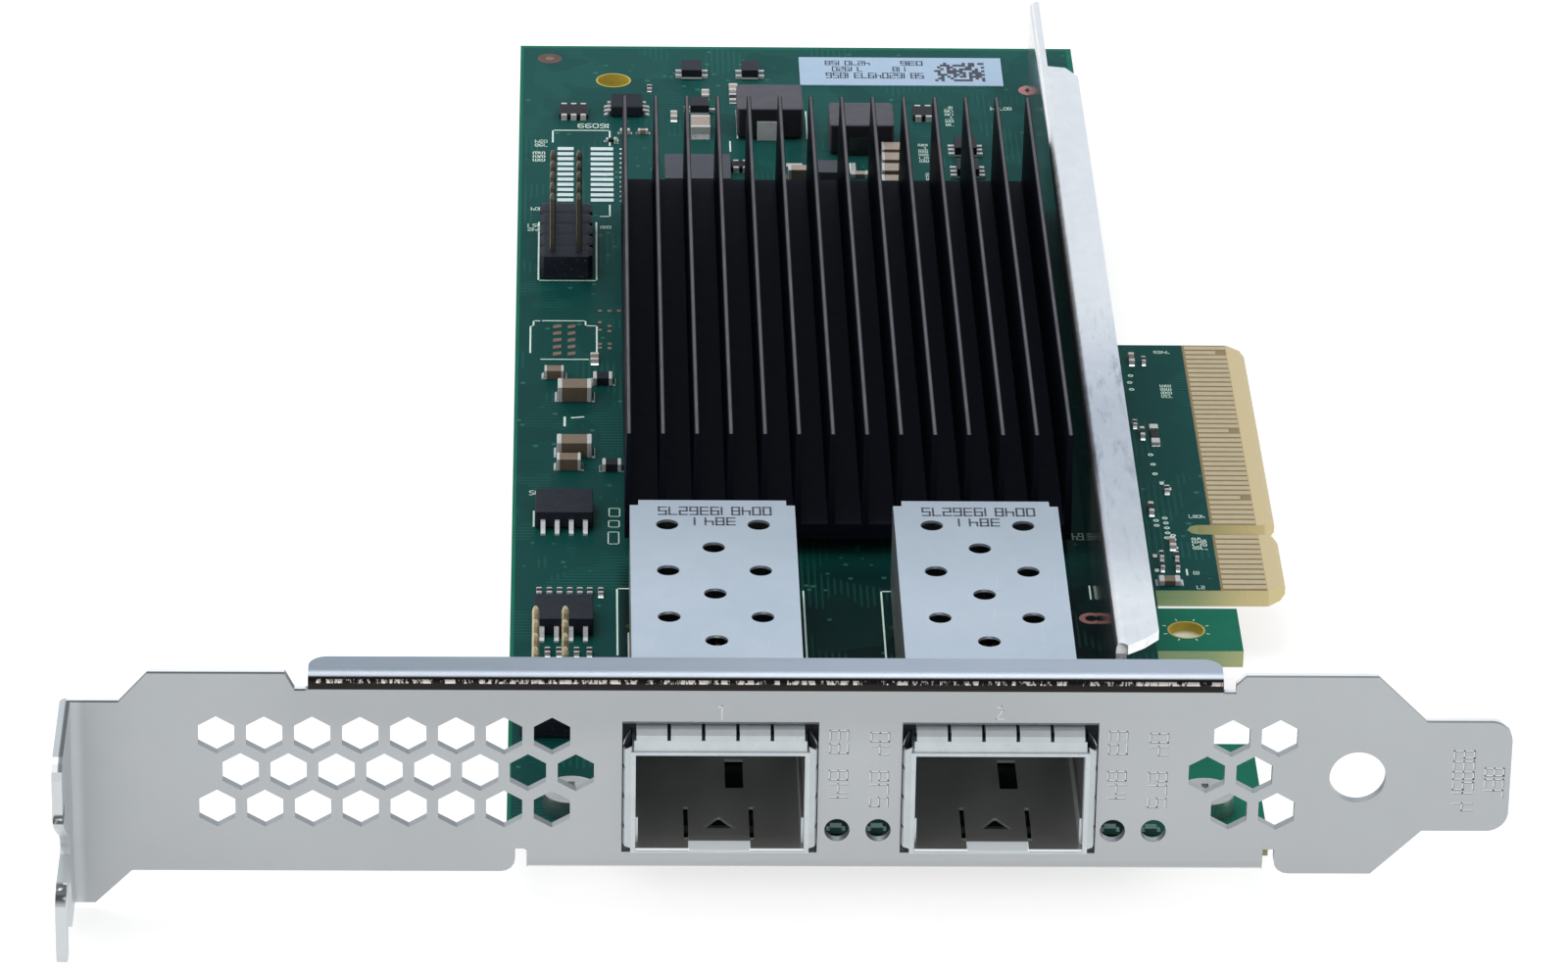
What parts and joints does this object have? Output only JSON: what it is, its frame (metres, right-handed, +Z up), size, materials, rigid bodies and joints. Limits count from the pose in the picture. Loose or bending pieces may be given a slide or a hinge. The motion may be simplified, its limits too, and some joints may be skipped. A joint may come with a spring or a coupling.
{
  "type": "network interface card",
  "caption": "Plug-in network card: green board with an edge connector, black finned heatsink, transceiver cages behind a vented full-height steel bracket, and a bright stiffener bar.",
  "frame": {"origin": "on the floor plane under the middle of the whole card, at the lowest level of the bracket's ear", "axes": "+X along the bracket from the screw ear to the tongue, so the edge contacts are on the +X side; +Y along the board away from the bracket; +Z up from the component side"},
  "size_m": [0.12, 0.1822, 0.0215],
  "materials": {
    "bracket_steel": "nickel-plated satin sheet",
    "screw_steel": "plated screw",
    "board": "green solder mask on glass-epoxy laminate",
    "gold": "gold-plated contact",
    "black_aluminium": "black anodised extrusion",
    "pad_grey": "soft thermal pad",
    "chip_black": "moulded epoxy",
    "cage_steel": "tin-plated sheet",
    "spring_steel": "bright spring strip",
    "socket_plastic": "glass-filled moulding",
    "stiffener_metal": "bright scuffed plated sheet",
    "header_plastic": "moulded header",
    "inductor_grey": "pressed iron powder, satin",
    "solder": "tinned lead",
    "capacitor_brown": "sintered ceramic chip",
    "led_white": "light-emitting diode package",
    "label_white": "blank white label"
  },
  "bodies": {
    "root": {"bracket": "bracket_steel", "bracket_screws": "screw_steel", "pcb": "board", "edge_contacts_top": "gold", "edge_contacts_bottom": "gold", "heatsink": "black_aluminium", "heatsink_screws": "screw_steel", "controller_chip": "chip_black", "thermal_pad": "pad_grey", "cage_cover_1": "cage_steel", "cage_base_1": "cage_steel", "cage_cover_2": "cage_steel", "cage_base_2": "cage_steel", "gasket_1": "spring_steel", "gasket_2": "spring_steel", "socket_1": "socket_plastic", "socket_2": "socket_plastic", "socket_contacts": "gold", "stiffener": "stiffener_metal", "header_body": "header_plastic", "header_pins": "gold", "jumper_body": "header_plastic", "jumper_pins": "gold", "flash_chips": "chip_black", "flash_leads": "solder", "inductors": "inductor_grey", "inductor_terminals": "solder", "regulator_chips": "chip_black", "small_chips": "chip_black", "large_capacitors": "capacitor_brown", "small_capacitors": "capacitor_brown", "resistors": "chip_black", "resistor_arrays": "chip_black", "transistors": "chip_black", "indicator_leds": "led_white", "label": "label_white"}
  },
  "joints": []
}
